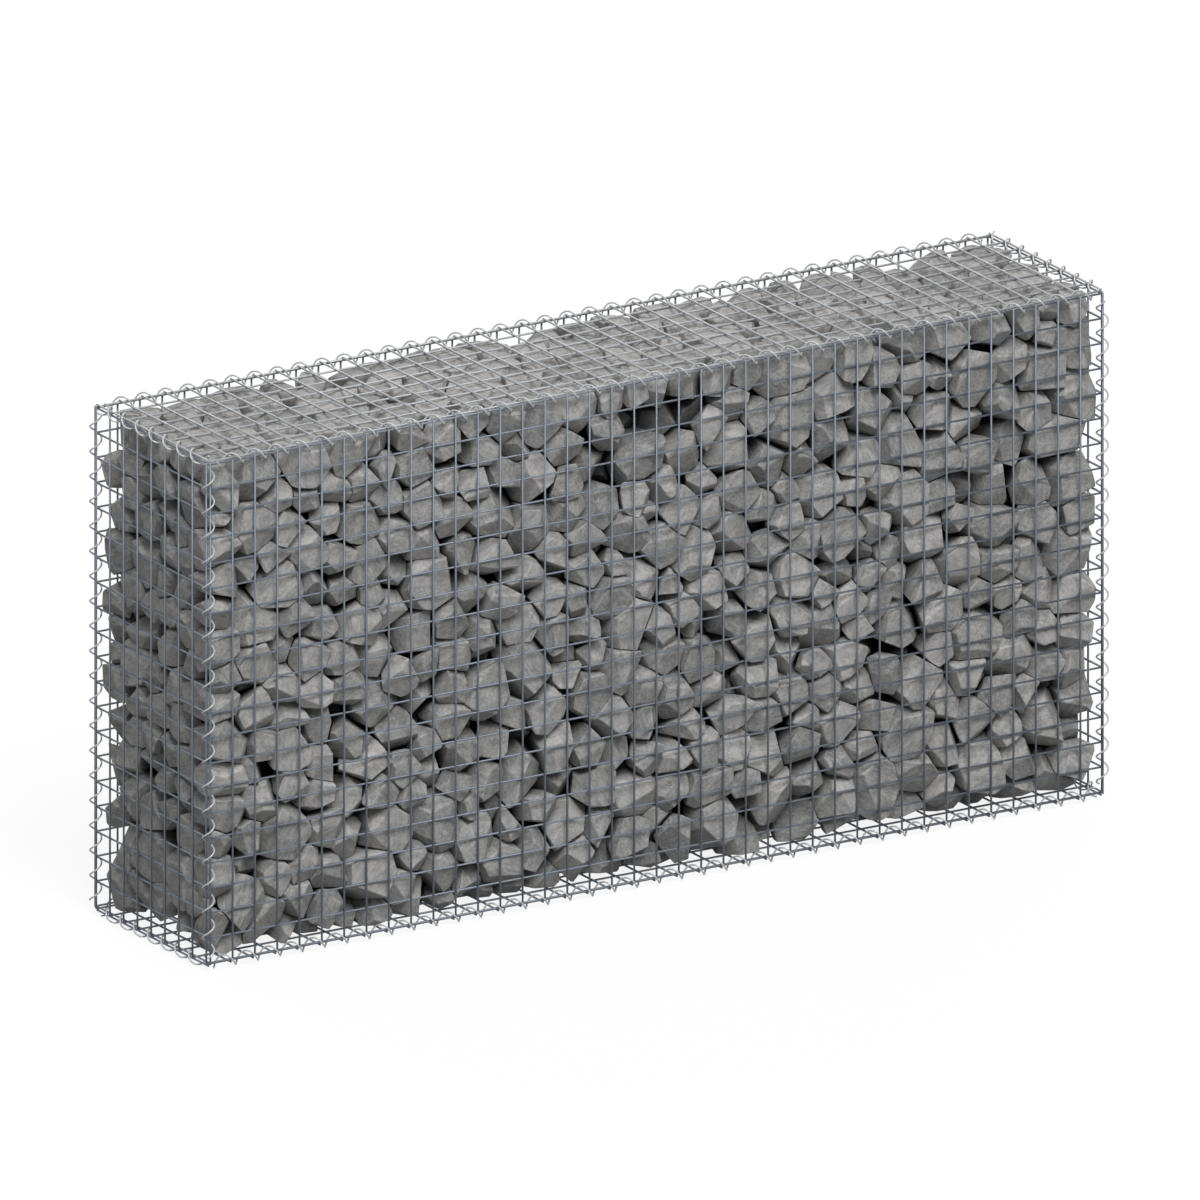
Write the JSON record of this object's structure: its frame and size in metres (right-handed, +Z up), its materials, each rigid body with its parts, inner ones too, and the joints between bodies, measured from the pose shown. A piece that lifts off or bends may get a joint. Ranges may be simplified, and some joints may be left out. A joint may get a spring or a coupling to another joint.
{
  "type": "gabion wall",
  "caption": "Free-standing gabion wall: a welded wire mesh basket, laced along its edges with spirals and packed with broken grey stone.",
  "frame": {"origin": "centre of the footprint, at the level of the lowest spiral turns", "axes": "+X along the length, +Y from the front to the back through the depth, +Z up"},
  "size_m": [2.03, 0.4352, 1.0334],
  "materials": {
    "mesh_steel": "galvanised, satin",
    "spiral_steel": "galvanised, bright",
    "fill_stone": "broken, matt"
  },
  "bodies": {
    "root": {"back_bottom_spiral": "spiral_steel", "back_left_spiral": "spiral_steel", "back_mesh_left": "mesh_steel", "back_mesh_middle": "mesh_steel", "back_mesh_right": "mesh_steel", "back_right_spiral": "spiral_steel", "back_top_spiral": "spiral_steel", "base_mesh": "mesh_steel", "front_bottom_spiral": "spiral_steel", "front_left_spiral": "spiral_steel", "front_mesh_left": "mesh_steel", "front_mesh_middle": "mesh_steel", "front_mesh_right": "mesh_steel", "front_right_spiral": "spiral_steel", "front_top_spiral": "spiral_steel", "left_bottom_spiral": "spiral_steel", "left_end_mesh": "mesh_steel", "left_top_spiral": "spiral_steel", "lid_mesh": "mesh_steel", "right_bottom_spiral": "spiral_steel", "right_end_mesh": "mesh_steel", "right_top_spiral": "spiral_steel", "stone_fill": "fill_stone"}
  },
  "joints": []
}
